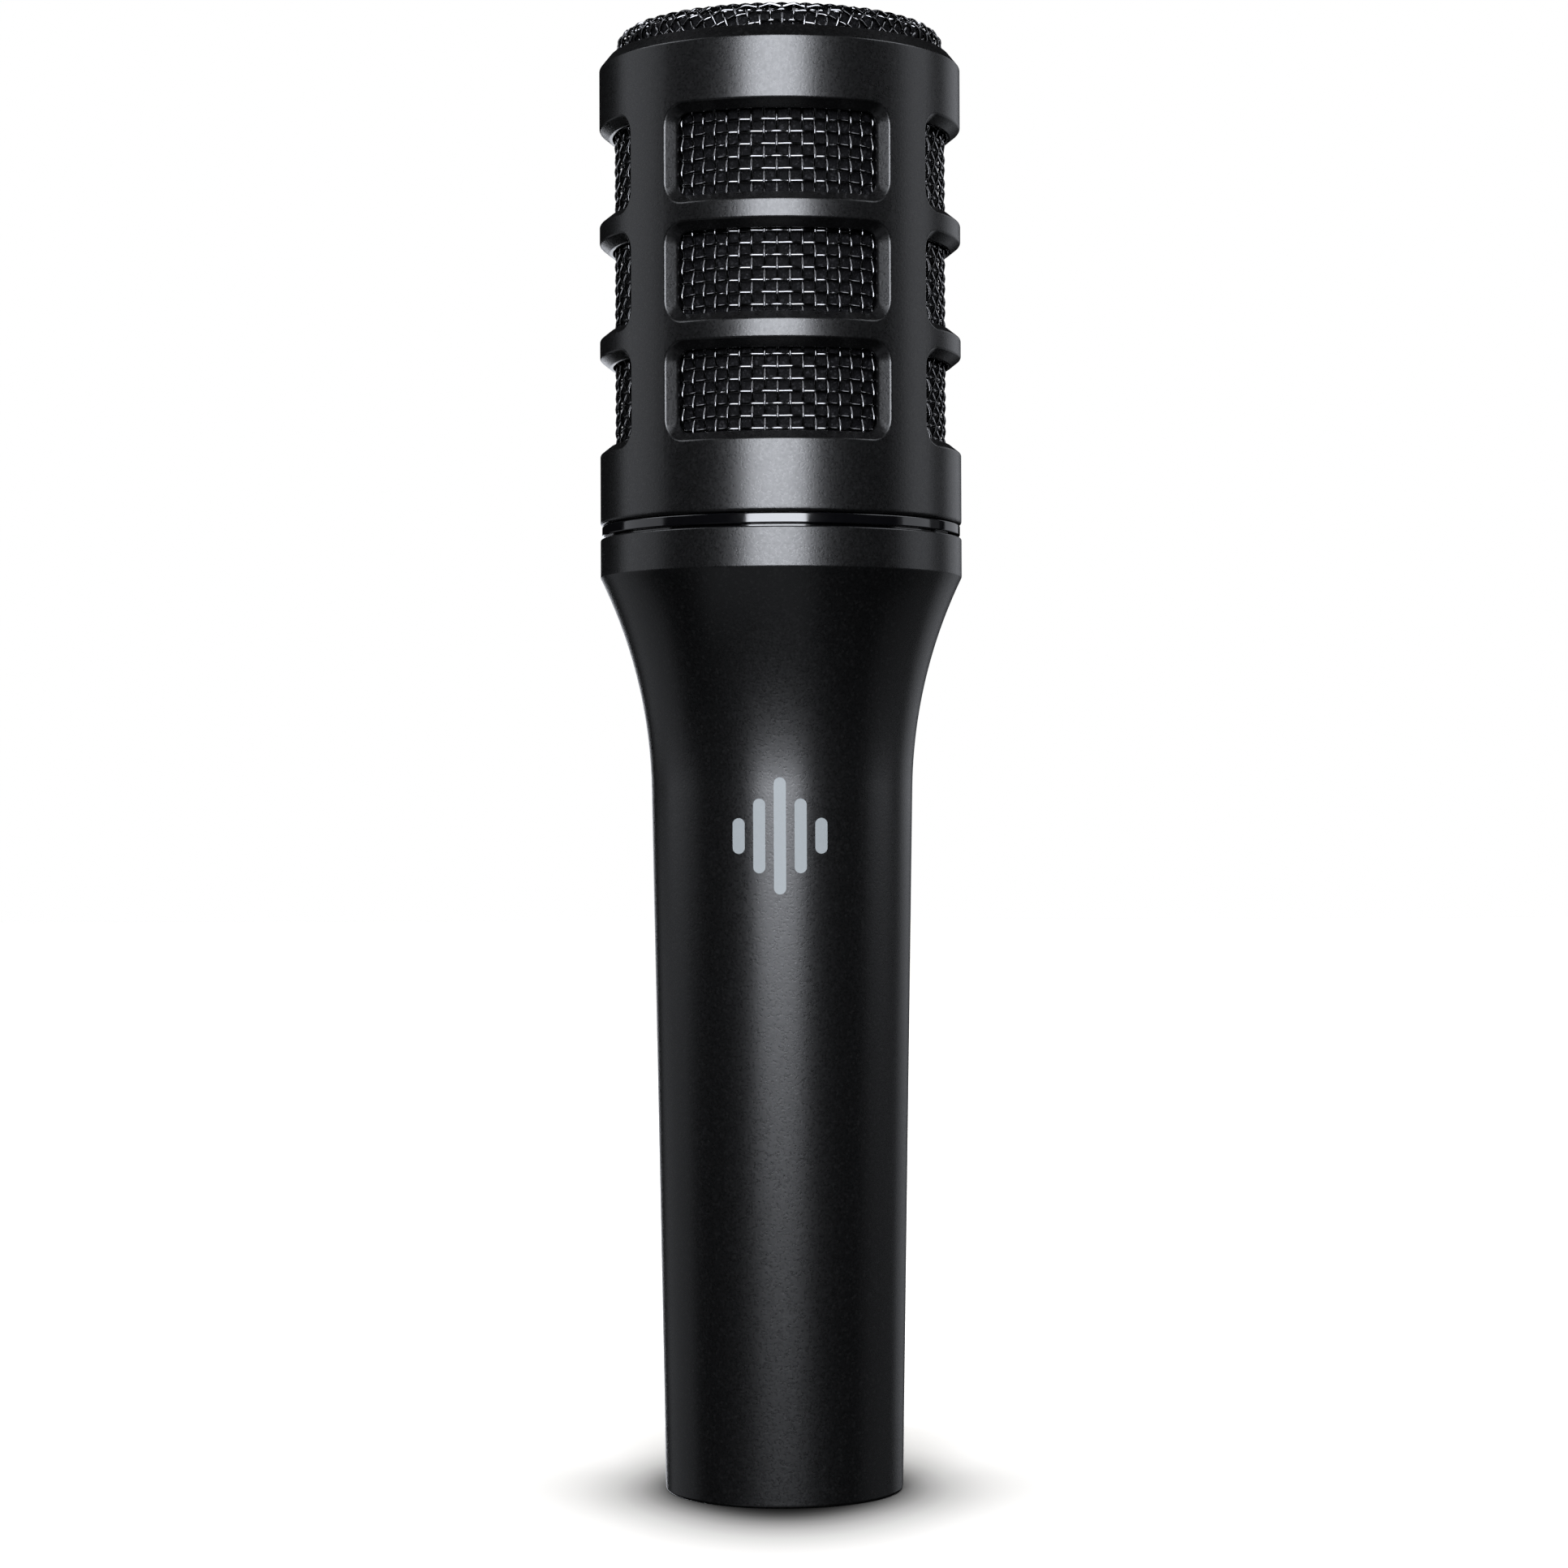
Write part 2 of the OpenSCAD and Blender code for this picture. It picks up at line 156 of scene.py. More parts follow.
# Worn edges: 1 where the surface is sharply convex
def makeEdgeWear():
    group, start, end = newGroup(
        "edgeWear",
        [("Amount", "NodeSocketFloat", 0.3), ("Patch", "NodeSocketFloat", 0.002)],
        [("Mask", "NodeSocketFloat")],
    )
    bend = addNode(group, "ShaderNodeNewGeometry").outputs["Pointiness"]
    edge = addNode(group, "ShaderNodeMapRange", {"From Min": 0.53, "From Max": 0.62})
    group.links.new(bend, edge.inputs["Value"])
    place = addNode(group, "ShaderNodeTexCoord").outputs["Object"]
    patches = addNode(group, "ShaderNodeTexNoise", {"Detail": 3.0})
    group.links.new(place, patches.inputs["Vector"])
    group.links.new(addMath(group, "DIVIDE", 1.0, start.outputs["Patch"]), patches.inputs["Scale"])
    rubbed = addMath(group, "MULTIPLY", edge.outputs["Result"], patches.outputs["Fac"])
    worn = addMath(group, "MULTIPLY", rubbed, start.outputs["Amount"], clamp=True)
    group.links.new(worn, end.inputs["Mask"])
    return group


# Thin dust that lies on what faces up
def makeDust():
    group, start, end = newGroup(
        "dust",
        [("Amount", "NodeSocketFloat", 0.1), ("Patch", "NodeSocketFloat", 0.006)],
        [("Mask", "NodeSocketFloat")],
    )
    split = addNode(group, "ShaderNodeSeparateXYZ")
    geometry = addNode(group, "ShaderNodeNewGeometry")
    group.links.new(geometry.outputs["Normal"], split.inputs["Vector"])
    facing = addNode(group, "ShaderNodeMapRange", {"From Min": -0.2, "From Max": 1.0, "To Min": 0.25})
    group.links.new(split.outputs["Z"], facing.inputs["Value"])
    place = addNode(group, "ShaderNodeTexCoord").outputs["Object"]
    patches = addNode(group, "ShaderNodeTexNoise", {"Detail": 6.0, "Roughness": 0.7})
    group.links.new(place, patches.inputs["Vector"])
    group.links.new(addMath(group, "DIVIDE", 1.0, start.outputs["Patch"]), patches.inputs["Scale"])
    cloud = addMath(group, "POWER", patches.outputs["Fac"], 2.0)
    settled = addMath(group, "MULTIPLY", cloud, facing.outputs["Result"])
    mask = addMath(group, "MULTIPLY", settled, start.outputs["Amount"], clamp=True)
    group.links.new(mask, end.inputs["Mask"])
    return group


fineGrain = makeGrain()
edgeWear = makeEdgeWear()
dustFilm = makeDust()


def useGroup(tree, group, **values):
    node = tree.nodes.new("ShaderNodeGroup")
    node.node_tree = group
    for key, value in values.items():
        node.inputs[key].default_value = value
    return node


def mixColour(tree, mask, base, layer):
    node = addNode(tree, "ShaderNodeMix", data_type="RGBA")
    tree.links.new(mask, node.inputs["Factor"])
    for key, value in (("A", base), ("B", layer)):
        socket = [s for s in node.inputs if s.name == key and s.type == "RGBA"][0]
        if isinstance(value, tuple):
            socket.default_value = value + (1.0,)
        else:
            tree.links.new(value, socket)
    return [s for s in node.outputs if s.type == "RGBA"][0]


dustColour = (0.32, 0.31, 0.29)


# A finish: its colour and grain, then edge wear, dust and relief over it
def makeMaterial(name, look):
    material = bpy.data.materials.new(name)
    material.use_nodes = True
    tree = material.node_tree
    shader = tree.nodes["Principled BSDF"]
    grain = useGroup(tree, fineGrain, Size=look["grain"] * mm, Clumps=look.get("clumps", 0.3))
    colour = mixColour(tree, grain.outputs["Grain"], look["dark"], look["light"])
    if look.get("fleck"):
        sparkle = addMath(tree, "MULTIPLY", grain.outputs["Fleck"], look["fleck"])
        colour = mixColour(tree, sparkle, colour, look["fleckColour"])
    wear = useGroup(tree, edgeWear, Amount=look.get("wear", 0.0))
    colour = mixColour(tree, wear.outputs["Mask"], colour, look.get("bare", look["light"]))
    dust = useGroup(tree, dustFilm, Amount=look.get("dust", 0.0))
    colour = mixColour(tree, dust.outputs["Mask"], colour, dustColour)
    tree.links.new(colour, shader.inputs["Base Color"])
    low, high = look["rough"]
    spread = {"From Min": 0.3, "From Max": 0.7, "To Min": low, "To Max": high}
    rough = addNode(tree, "ShaderNodeMapRange", spread)
    tree.links.new(grain.outputs["Grain"], rough.inputs["Value"])
    dusted = addMath(tree, "ADD", rough.outputs["Result"], dust.outputs["Mask"], clamp=True)
    tree.links.new(dusted, shader.inputs["Roughness"])
    if look.get("relief"):
        bump = addNode(tree, "ShaderNodeBump", {"Strength": 1.0, "Distance": look["relief"] * mm})
        tree.links.new(grain.outputs["Grain"], bump.inputs["Height"])
        tree.links.new(bump.outputs["Normal"], shader.inputs["Normal"])
    shader.inputs["Metallic"].default_value = look.get("metallic", 0.0)
    shader.inputs["IOR"].default_value = look.get("ior", 1.5)
    shader.inputs["Coat Weight"].default_value = look.get("coat", 0.0)
    shader.inputs["Sheen Weight"].default_value = look.get("sheen", 0.0)
    return material


finishes = {
    "black_powder_coat": {
        "dark": (0.0008, 0.0008, 0.00085), "light": (0.0018, 0.0018, 0.0019), "grain": 0.3,
        "rough": (0.25, 0.34), "clumps": 0.15, "relief": 0.014, "fleck": 0.2,
        "fleckColour": (0.012, 0.012, 0.012), "wear": 0.2, "bare": (0.012, 0.012, 0.012), "dust": 0.003,
    },
    "gloss_black": {
        "dark": (0.001, 0.001, 0.0012), "light": (0.002, 0.002, 0.0024), "grain": 0.8,
        "rough": (0.08, 0.12), "wear": 0.05, "bare": (0.01, 0.01, 0.011), "dust": 0.002, "ior": 1.56,
    },
    "mesh_steel": {
        "dark": (0.075, 0.075, 0.077), "light": (0.135, 0.135, 0.138), "grain": 0.25,
        "rough": (0.1, 0.16), "metallic": 1.0, "relief": 0.002, "dust": 0.003,
    },
    "dark_foam": {
        "dark": (0.001, 0.001, 0.0012), "light": (0.004, 0.004, 0.0048), "grain": 0.26,
        "rough": (0.5, 0.75), "clumps": 0.1, "relief": 0.16, "fleck": 0.45,
        "fleckColour": (0.03, 0.03, 0.033), "ior": 1.15,
    },
    "black_plastic": {
        "dark": (0.01, 0.01, 0.011), "light": (0.02, 0.02, 0.022), "grain": 0.3, "rough": (0.4, 0.55),
        "relief": 0.006, "dust": 0.03,
    },
    "black_rubber": {
        "dark": (0.008, 0.008, 0.009), "light": (0.018, 0.018, 0.019), "grain": 0.4, "rough": (0.6, 0.8),
        "relief": 0.01, "dust": 0.06,
    },
    "thread_brass": {
        "dark": (0.5, 0.36, 0.15), "light": (0.72, 0.56, 0.27), "grain": 0.5, "rough": (0.22, 0.36),
        "metallic": 1.0, "relief": 0.004, "wear": 0.4, "bare": (0.86, 0.72, 0.4),
    },
    "barrel_metal": {
        "dark": (0.34, 0.34, 0.35), "light": (0.5, 0.5, 0.51), "grain": 0.35, "rough": (0.28, 0.42),
        "metallic": 1.0, "relief": 0.005, "wear": 0.4, "bare": (0.7, 0.7, 0.7), "dust": 0.02,
    },
    "pin_plating": {
        "dark": (0.68, 0.5, 0.2), "light": (0.86, 0.68, 0.33), "grain": 0.3, "rough": (0.12, 0.22),
        "metallic": 1.0, "relief": 0.002, "wear": 0.3, "bare": (0.95, 0.85, 0.6),
    },
    "plated_steel": {
        "dark": (0.4, 0.4, 0.42), "light": (0.6, 0.6, 0.61), "grain": 0.3, "rough": (0.2, 0.34),
        "metallic": 1.0, "relief": 0.003, "wear": 0.3, "bare": (0.75, 0.75, 0.75),
    },
    "board_green": {
        "dark": (0.015, 0.09, 0.04), "light": (0.03, 0.15, 0.065), "grain": 0.5, "rough": (0.25, 0.4),
        "relief": 0.004, "coat": 0.4,
    },
    "red_insulation": {
        "dark": (0.3, 0.02, 0.012), "light": (0.45, 0.035, 0.02), "grain": 0.4, "rough": (0.35, 0.5),
        "relief": 0.004,
    },
    "black_insulation": {
        "dark": (0.008, 0.008, 0.009), "light": (0.02, 0.02, 0.022), "grain": 0.4, "rough": (0.35, 0.5),
        "relief": 0.004,
    },
    "print_grey": {
        "dark": (0.16, 0.175, 0.18), "light": (0.2, 0.218, 0.224), "grain": 0.3, "rough": (0.5, 0.62),
        "relief": 0.006, "wear": 0.1, "dust": 0.006,
    },
    "capsule_aluminium": {
        "dark": (0.5, 0.5, 0.51), "light": (0.68, 0.68, 0.69), "grain": 0.4, "rough": (0.26, 0.4),
        "metallic": 1.0, "relief": 0.004, "wear": 0.3, "bare": (0.8, 0.8, 0.8),
    },
    "felt": {
        "dark": (0.4, 0.37, 0.28), "light": (0.68, 0.64, 0.52), "grain": 0.3, "rough": (0.9, 1.0),
        "relief": 0.1, "sheen": 0.4,
    },
    "magnet_steel": {
        "dark": (0.22, 0.22, 0.24), "light": (0.36, 0.36, 0.38), "grain": 0.4, "rough": (0.3, 0.46),
        "metallic": 1.0, "relief": 0.004, "wear": 0.4, "bare": (0.6, 0.6, 0.6),
    },
    "magnet_alloy": {
        "dark": (0.42, 0.42, 0.44), "light": (0.56, 0.56, 0.58), "grain": 0.5, "rough": (0.1, 0.2),
        "metallic": 1.0, "relief": 0.002, "wear": 0.3, "bare": (0.8, 0.8, 0.8),
    },
    "diaphragm_film": {
        "dark": (0.5, 0.47, 0.34), "light": (0.64, 0.61, 0.46), "grain": 0.8, "rough": (0.12, 0.22),
        "relief": 0.002, "coat": 0.5,
    },
    "copper_wire": {
        "dark": (0.5, 0.2, 0.08), "light": (0.72, 0.33, 0.15), "grain": 0.12, "rough": (0.22, 0.34),
        "metallic": 1.0, "relief": 0.01,
    },
}
materials = {name: makeMaterial(name, look) for name, look in finishes.items()}
slotOf = {row["node"]: row["material_slot"] for row in frame["record"]["subparts"]}
for name, part in nodes.items():
    part.data.materials.clear()
    part.data.materials.append(materials[slotOf[name]])
print("materials made:", len(materials))


# Tools for making pieces

weldGap = 0.002 * mm


def addPiece(name, bm, body, slot, stands=(), sharp=32):
    bmesh.ops.remove_doubles(bm, verts=bm.verts, dist=weldGap)
    bmesh.ops.recalc_face_normals(bm, faces=bm.faces)
    mesh = bpy.data.meshes.new(name)
    bm.to_mesh(mesh)
    bm.free()
    return addMesh(name, mesh, body, slot, stands, sharp)


def addMesh(name, mesh, body, slot, stands=(), sharp=32):
    mesh.materials.clear()
    mesh.materials.append(materials[slot])
    mesh.shade_smooth()
    mesh.set_sharp_from_angle(angle=math.radians(sharp))
    piece = bpy.data.objects.new(name, mesh)
    bpy.context.scene.collection.objects.link(piece)
    if body:
        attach(piece, body)
    if stands:
        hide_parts(*stands)
    print("piece", name, len(mesh.polygons), "faces")
    return piece


# Rounds the corners of an outline: a point is (radius, height) or (radius, height, rounding)
def roundOutline(points, closed=True, steps=5):
    outline = []
    count = len(points)
    for index, point in enumerate(points):
        here = Vector(point[:2])
        rounding = point[2] if len(point) > 2 else 0
        if not rounding or (not closed and index in (0, count - 1)):
            outline.append(here)
            continue
        before = (Vector(points[index - 1][:2]) - here).normalized()
        after = (Vector(points[(index + 1) % count][:2]) - here).normalized()
        half = before.angle(after) / 2
        middle = here + (before + after).normalized() * rounding / math.sin(half)
        first = here + before * rounding / math.tan(half) - middle
        last = here + after * rounding / math.tan(half) - middle
        sweep = first.angle_signed(last)
        for step in range(steps + 1):
            turn = -sweep * step / steps
            outline.append(middle + Matrix.Rotation(turn, 2) @ first)
    return outline


# Spins an outline, given in millimetres, once round the Z axis
def spinOutline(outline, steps=192, closed=True, centre=(0, 0)):
    bm = bmesh.new()
    corners = [bm.verts.new((point[0] * mm, 0, point[1] * mm)) for point in outline]
    sides = [bm.edges.new(pair) for pair in zip(corners, corners[1:])]
    if closed:
        sides.append(bm.edges.new((corners[-1], corners[0])))
    bmesh.ops.spin(
        bm, geom=corners + sides, cent=(0, 0, 0), axis=(0, 0, 1), dvec=(0, 0, 0),
        angle=math.tau, steps=steps, use_merge=True, use_duplicate=False,
    )
    bmesh.ops.translate(bm, verts=bm.verts, vec=(centre[0] * mm, centre[1] * mm, 0))
    return bm


def evenShading(piece):
    shading = piece.modifiers.new("evenShading", "WEIGHTED_NORMAL")
    shading.mode = "FACE_AREA"
    shading.weight = 100
    shading.keep_sharp = True


def applyModifiers(piece):
    bpy.context.view_layer.update()
    ready = piece.evaluated_get(bpy.context.evaluated_depsgraph_get())
    mesh = bpy.data.meshes.new_from_object(ready)
    old = piece.data
    piece.modifiers.clear()
    piece.data = mesh
    mesh.name = piece.name
    bpy.data.meshes.remove(old)


# A curve with a round section, ready for its splines
def newWire(name, radius, roundness, capped=True):
    curve = bpy.data.curves.new(name, "CURVE")
    curve.dimensions = "3D"
    curve.bevel_depth = radius * mm
    curve.bevel_resolution = roundness
    curve.use_fill_caps = capped
    return curve


def curveToMesh(curve):
    holder = bpy.data.objects.new(curve.name, curve)
    bpy.context.scene.collection.objects.link(holder)
    bpy.context.view_layer.update()
    mesh = bpy.data.meshes.new_from_object(holder)
    bpy.data.objects.remove(holder)
    bpy.data.curves.remove(curve)
    return mesh


# Handle

handleShape = {
    "baseRadius": 15.05, "gripRadius": 16.6, "gripHeight": 89, "collarRadius": 23,
    "flareTop": 115.7, "collarTop": 120.6, "wall": 2, "bore": 12, "neckBore": 18.8, "neckSeat": 112,
    "seatWidth": 0.8, "boreTop": 22.6, "cavityBottom": 24, "innerFlareEnd": 17, "flareSteps": 40,
    "innerSteps": 8, "baseRound": 0.45, "flareRound": 0.5, "collarRound": 0.22,
    "screwHeight": 11, "screwHole": 1.25, "drillLength": 6, "drillPlace": 14,
}


# The flare is an arc from the grip's slope out to the collar
def handleFlare(shape):
    start = math.atan((shape["gripRadius"] - shape["baseRadius"]) / shape["gripHeight"])
    rise = shape["flareTop"] - shape["gripHeight"]
    end = 2 * math.atan((shape["collarRadius"] - shape["gripRadius"]) / rise) - start
    radius = rise / (math.sin(end) - math.sin(start))

    def point(angle, out=0):
        return (
            shape["gripRadius"] + radius * (math.cos(start) - math.cos(angle)) + out * math.cos(angle),
            shape["gripHeight"] + radius * (math.sin(angle) - math.sin(start)) - out * math.sin(angle),
        )
    return start, end, point


def makeHandle(shape):
    start, end, flare = handleFlare(shape)
    steps = shape["flareSteps"]
    curve = [flare(start + (end - start) * step / steps) for step in range(steps)]
    steps = shape["innerSteps"]
    turn = math.radians(shape["innerFlareEnd"]) - start
    inner = [flare(start + turn * step / steps, -shape["wall"]) for step in range(steps + 1)]
    cavity = shape["baseRadius"] - shape["wall"] + shape["cavityBottom"] * math.tan(start)
    outline = roundOutline(
        [(shape["bore"], 0, 0.15), (shape["baseRadius"], 0, shape["baseRound"])]
        + curve
        + [
            (shape["collarRadius"], shape["flareTop"], shape["flareRound"]),
            (shape["collarRadius"], shape["collarTop"], shape["collarRound"]),
            (shape["neckBore"], shape["collarTop"]),
            (shape["neckBore"], shape["neckSeat"]),
            (shape["neckBore"] - shape["seatWidth"], shape["neckSeat"]),
        ]
        + inner[::-1]
        + [(cavity, shape["cavityBottom"]), (shape["bore"], shape["boreTop"])]
    )
    bm = spinOutline(outline)
    piece = addPiece("handleShell", bm, "handle", "black_powder_coat", ["handle"], sharp=40)
    cutScrewHole(piece, shape)
    evenShading(piece)


# The set screw's hole goes through the back of the wall
def cutScrewHole(piece, shape):
    bm = bmesh.new()
    radius = shape["screwHole"] * mm
    place = Matrix.Translation((0, shape["drillPlace"] * mm, shape["screwHeight"] * mm))
    bmesh.ops.create_cone(
        bm, cap_ends=True, segments=32, radius1=radius, radius2=radius, depth=shape["drillLength"] * mm,
        matrix=place @ Matrix.Rotation(math.pi / 2, 4, "X"),
    )
    mesh = bpy.data.meshes.new("screwDrill")
    bm.to_mesh(mesh)
    bm.free()
    drill = bpy.data.objects.new("screwDrill", mesh)
    bpy.context.scene.collection.objects.link(drill)
    cut = piece.modifiers.new("screwHole", "BOOLEAN")
    cut.operation = "DIFFERENCE"
    cut.solver = "EXACT"
    cut.object = drill
    applyModifiers(piece)
    bpy.data.objects.remove(drill)


makeHandle(handleShape)
print("handle turned")


# Trim ring

trimShape = {"inner": 20.98, "outer": 22.8, "foot": 21.5, "bottom": 120.65, "step": 120.95, "top": 122.25}


def makeTrimRing(shape):
    outline = roundOutline([
        (shape["inner"], shape["bottom"]),
        (shape["foot"], shape["bottom"]),
        (shape["foot"], shape["step"], 0.05),
        (shape["outer"], shape["step"], 0.16),
        (shape["outer"], shape["top"], 0.2),
        (shape["inner"], shape["top"]),
    ])
    piece = addPiece("trimBand", spinOutline(outline), "trim_ring", "gloss_black", ["trim_ring"])
    evenShading(piece)


makeTrimRing(trimShape)


# Threaded neck, seen when the head is unscrewed

neckShape = {
    "bore": 18.35, "stem": 18.75, "root": 19.5, "crest": 19.88, "seat": 112, "shoulder": 120.6,
    "top": 127.8, "pitch": 1.0, "turns": 5.6, "stepsPerTurn": 96, "threadStart": 0.7,
    "tooth": (0.38, 0.5, 0.88), "sunk": 0.1, "runOut": 1.2,
}


def makeNeck(shape):
    outline = roundOutline([
        (shape["bore"], shape["seat"]),
        (shape["stem"], shape["seat"]),
        (shape["stem"], shape["shoulder"]),
        (shape["root"], shape["shoulder"]),
        (shape["root"], shape["top"], 0.4),
        (shape["bore"], shape["top"], 0.3),
    ])
    bm = spinOutline(outline, steps=128)
    depth = shape["crest"] - shape["root"]
    root = shape["root"] - shape["sunk"]
    low = shape["shoulder"] + shape["threadStart"]
    rise, fall, foot = shape["tooth"]
    tooth = [(root, low), (shape["crest"], low + rise), (shape["crest"], low + fall), (root, low + foot)]
    corners = [bm.verts.new((radius * mm, 0, height * mm)) for radius, height in tooth]
    sides = [bm.edges.new(pair) for pair in zip(corners, corners[1:] + corners[:1])]
    bm.faces.new(corners)
    swept = bmesh.ops.spin(
        bm, geom=corners + sides, cent=(0, 0, 0), axis=(0, 0, 1),
        dvec=(0, 0, shape["pitch"] * mm / shape["stepsPerTurn"]), angle=math.tau * shape["turns"],
        steps=round(shape["turns"] * shape["stepsPerTurn"]), use_duplicate=False,
    )
    ends = [item for item in swept["geom_last"] if isinstance(item, bmesh.types.BMVert)]
    bmesh.ops.contextual_create(bm, geom=ends)
    # the thread runs out into the neck at both ends
    for tip in (corners, ends):
        for vert in tip:
            flat = Vector((vert.co.x, vert.co.y, 0))
            if flat.length > shape["root"] * mm:
                flat.length -= depth * shape["runOut"] * mm
                vert.co.x, vert.co.y = flat.x, flat.y
    piece = addPiece("neckThread", bm, "handle", "thread_brass", ["neck_ring"])
    evenShading(piece)


makeNeck(neckShape)


# Cage: one quarter is laid out flat, bevelled, then wrapped round the axis

cageShape = {
    "radius": 23, "wall": 1.65, "rows": 3, "columns": 4, "windowHeight": 12.3, "rail": 2.3,
    "windowStart": 131.3, "halfChord": 13.9, "cornerRadius": 2.7, "cornerSteps": 8,
    "bevelWidth": 1.05, "bevelDepth": 1.32, "edgeRound": 0.2, "innerRound": 0.1, "slices": 36,
    "low": 123.0, "high": 180.0, "rimShoulder": 180.35, "rimTop": 181.95, "rimRadius": 21.7,
    "footEdge": 122.35, "footBottom": 120.75, "footRadius": 20.9, "threadRadius": 20, "threadTop": 128.5,
}


# Half of a window's outline, from the middle of its lower edge to the middle of its upper edge
def windowHalf(shape, row, inset, side):
    halfAngle = math.asin(shape["halfChord"] / shape["radius"])
    width = shape["radius"] * halfAngle - inset
    bottom = shape["windowStart"] + row * (shape["windowHeight"] + shape["rail"]) + inset
    top = bottom + shape["windowHeight"] - 2 * inset
    corner = shape["cornerRadius"] - inset
    points = [(0, bottom)]
    steps = shape["cornerSteps"]
    for centreY, first in ((bottom + corner, -90), (top - corner, 0)):
        for step in range(steps + 1):
            angle = math.radians(first + 90 * step / steps)
            points.append((
                side * (width - corner + corner * math.cos(angle)),
                centreY + corner * math.sin(angle),
            ))
    points.append((0, top))
    return points


# One cell of the flat sheet is two C shapes that meet above and below the window
def cutCell(bm, shape, row, inset, depth):
    halfWidth = math.pi / 2 * shape["radius"] / 2
    pitch = shape["windowHeight"] + shape["rail"]
    bottom = shape["windowStart"] - shape["rail"] / 2 + row * pitch
    top = bottom + pitch
    if row == 0:
        bottom = shape["low"]
    if row == shape["rows"] - 1:
        top = shape["high"]
    for side in (1, -1):
        window = windowHalf(shape, row, inset, side)
        edge = side * halfWidth
        outline = [(0, bottom), (edge, bottom), (edge, top), (0, top)] + window[::-1]
        corners = [bm.verts.new((x * mm, y * mm, -depth * mm)) for x, y in outline]
        bm.faces.new(corners)


# Walls of the window openings: rings of quads between insets of the same outline
def cutWalls(bm, shape, row, levels):
    for side in (1, -1):
        rims = []
        for inset, depth in levels:
            points = windowHalf(shape, row, inset, side)
            corners = [bm.verts.new((x * mm, y * mm, -depth * mm)) for x, y in points]
            rims.append([bm.edges.new(pair) for pair in zip(corners, corners[1:])])
        for outer, inner in zip(rims, rims[1:]):
            bmesh.ops.bridge_loops(bm, edges=outer + inner)


def makeCage(shape):
    bm = bmesh.new()
    levels = [(0, 0), (shape["bevelWidth"], shape["bevelDepth"]), (shape["bevelWidth"], shape["wall"])]
    for row in range(shape["rows"]):
        cutCell(bm, shape, row, 0, 0)
        cutWalls(bm, shape, row, levels)
        cutCell(bm, shape, row, shape["bevelWidth"], shape["wall"])
    bmesh.ops.remove_doubles(bm, verts=bm.verts, dist=0.001 * mm)
    bmesh.ops.recalc_face_normals(bm, faces=bm.faces)
    roundCreases(bm, 0, shape["edgeRound"], 3)
    roundCreases(bm, shape["bevelDepth"], shape["innerRound"], 2)
    width = math.pi / 2 * shape["radius"]
    for cut in range(1, shape["slices"]):
        bmesh.ops.bisect_plane(
            bm, geom=bm.verts[:] + bm.edges[:] + bm.faces[:], dist=0.0005 * mm,
            plane_co=((cut / shape["slices"] - 0.5) * width * mm, 0, 0), plane_no=(1, 0, 0),
        )
    for vert in bm.verts:
        angle = vert.co.x / (shape["radius"] * mm)
        radius = shape["radius"] * mm + vert.co.z
        vert.co = (radius * math.sin(angle), -radius * math.cos(angle), vert.co.y)
    panel = bm.verts[:] + bm.edges[:] + bm.faces[:]
    for turn in range(1, shape["columns"]):
        copy = bmesh.ops.duplicate(bm, geom=panel)["geom"]
        bmesh.ops.rotate(
            bm, verts=[item for item in copy if isinstance(item, bmesh.types.BMVert)],
            cent=(0, 0, 0), matrix=Matrix.Rotation(turn * math.pi / 2, 3, "Z"),
        )
    bmesh.ops.remove_doubles(bm, verts=bm.verts, dist=weldGap)
    inner = shape["radius"] - shape["wall"]
    rim = roundOutline([
        (shape["radius"], shape["high"] - 1), (shape["radius"], shape["rimShoulder"], 0.3),
        (shape["rimRadius"], shape["rimTop"], 0.3), (inner, shape["rimTop"], 0.1), (inner, shape["high"]),
    ], closed=False, steps=6)
    foot = roundOutline([
        (shape["radius"], shape["low"] + 1), (shape["radius"], shape["footEdge"], 0.42),
        (shape["footRadius"], shape["footEdge"]), (shape["footRadius"], shape["footBottom"]),
        (shape["threadRadius"], shape["footBottom"], 0.2), (shape["threadRadius"], shape["threadTop"], 0.1),
        (inner, shape["threadTop"]),
    ], closed=False)
    closeRing(bm, shape["high"], rim[1:-1], shape["radius"], inner)
    closeRing(bm, shape["low"], foot[1:], shape["radius"], inner)
    piece = addPiece("cageShell", bm, "head", "black_powder_coat", ["head_cage"], sharp=38)
    evenShading(piece)


# Rounds the edges at one depth of the flat sheet where two faces meet at an angle
def roundCreases(bm, depth, size, segments):
    level = -depth * mm
    creases = [
        edge for edge in bm.edges
        if len(edge.link_faces) == 2
        and all(abs(vert.co.z - level) < 0.01 * mm for vert in edge.verts)
        and edge.calc_face_angle(0) > math.radians(20)
    ]
    bmesh.ops.bevel(
        bm, geom=creases, offset=size * mm, offset_type="OFFSET", segments=segments, profile=0.5,
        affect="EDGES", clamp_overlap=True, material=-1,
    )


# Carries the open outer edge at one height round an outline and joins it to the inner edge
def closeRing(bm, height, outline, outerRadius, innerRadius):
    def openRing(radius):
        return [
            edge for edge in bm.edges
            if len(edge.link_faces) == 1
            and all(
                abs(vert.co.z - height * mm) < 0.01 * mm
                and abs(math.hypot(vert.co.x, vert.co.y) - radius * mm) < 0.05 * mm
                for vert in edge.verts
            )
        ]
    ring = openRing(outerRadius)
    for radius, level in outline:
        made = bmesh.ops.extrude_edge_only(bm, edges=ring)["geom"]
        ring = [item for item in made if isinstance(item, bmesh.types.BMEdge)]
        for vert in {vert for edge in ring for vert in edge.verts}:
            scale = radius * mm / math.hypot(vert.co.x, vert.co.y)
            vert.co = (vert.co.x * scale, vert.co.y * scale, level * mm)
    bmesh.ops.bridge_loops(bm, edges=ring + openRing(innerRadius))


